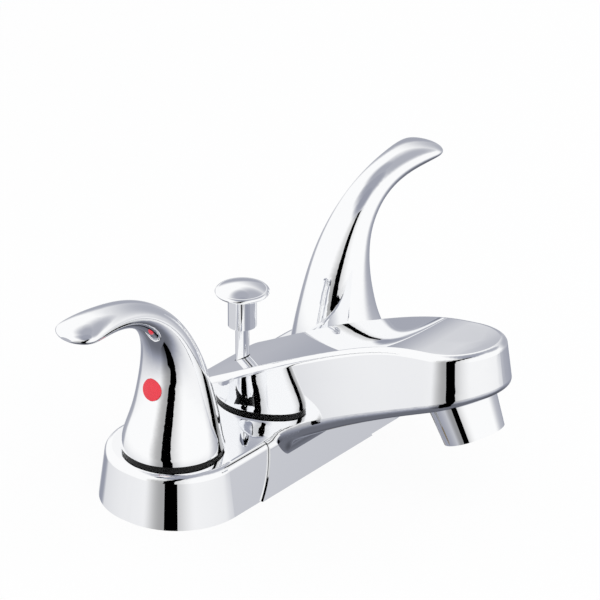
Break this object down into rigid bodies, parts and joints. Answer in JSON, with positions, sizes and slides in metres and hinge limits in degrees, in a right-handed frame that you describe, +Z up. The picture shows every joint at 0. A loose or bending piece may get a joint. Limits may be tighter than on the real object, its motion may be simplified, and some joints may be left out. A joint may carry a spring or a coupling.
{
  "type": "centerset bathroom faucet",
  "caption": "centerset bathroom faucet with two lever handles, an arched cast spout with a tilted aerator, and a lift rod for the pop-up drain",
  "frame": {"origin": "middle of the deck face, where the rim of the deck plate meets the counter", "axes": "+X towards the cold handle on the user's right, +Y towards the wall, +Z up; the spout reaches to -Y"},
  "size_m": [0.219, 0.146, 0.1648],
  "materials": {
    "chrome_body": "polished chrome plate",
    "brass_body": "cast and turned brass, unplated",
    "gasket_rubber": "matt foam rubber",
    "seal_rubber": "smooth nitrile rubber",
    "steel_fixings": "plain stainless steel",
    "aerator_plastic": "moulded acetal",
    "black_plastic": "moulded black acetal",
    "fixing_plastic": "moulded white nylon",
    "red_index": "gloss red button",
    "blue_index": "gloss blue button",
    "ceramic": "lapped alumina ceramic"
  },
  "bodies": {
    "root": {"base_escutcheon": "chrome_body", "spout_body": "chrome_body", "waterway": "brass_body", "base_gasket": "gasket_rubber", "spout_oring": "seal_rubber", "spout_screws": "steel_fixings", "aerator_housing": "chrome_body", "aerator_insert": "aerator_plastic", "aerator_screen": "aerator_plastic", "aerator_washer": "seal_rubber", "lift_rod_bushing": "black_plastic", "hot_fixed_disc": "ceramic", "hot_seat_seal": "seal_rubber", "hot_cartridge_body": "brass_body", "hot_retaining_nut": "brass_body", "hot_glide_ring": "black_plastic", "hot_mounting_washer": "fixing_plastic", "hot_mounting_nut": "fixing_plastic", "cold_fixed_disc": "ceramic", "cold_seat_seal": "seal_rubber", "cold_cartridge_body": "brass_body", "cold_retaining_nut": "brass_body", "cold_glide_ring": "black_plastic", "cold_mounting_washer": "fixing_plastic", "cold_mounting_nut": "fixing_plastic"},
    "hot_valve": {"hot_handle": "chrome_body", "hot_index_button": "red_index", "hot_set_screw": "steel_fixings", "hot_stem": "brass_body", "hot_stem_oring": "seal_rubber", "hot_moving_disc": "ceramic"},
    "cold_valve": {"cold_handle": "chrome_body", "cold_index_button": "blue_index", "cold_set_screw": "steel_fixings", "cold_stem": "brass_body", "cold_stem_oring": "seal_rubber", "cold_moving_disc": "ceramic"},
    "lift": {"lift_rod": "chrome_body", "lift_knob": "chrome_body"}
  },
  "joints": [
    {"name": "hot_turn", "type": "hinge", "parent": "root", "child": "hot_valve", "pos_m": [-0.0508, 0, 0.022], "axis": [0, 0, 1], "range_deg": [0, 90]},
    {"name": "cold_turn", "type": "hinge", "parent": "root", "child": "cold_valve", "pos_m": [0.0508, 0, 0.022], "axis": [0, 0, 1], "range_deg": [-90, 0]},
    {"name": "lift_slide", "type": "slide", "parent": "root", "child": "lift", "axis": [0, 0, 1], "range_m": [-0.01, 0.01]}
  ]
}
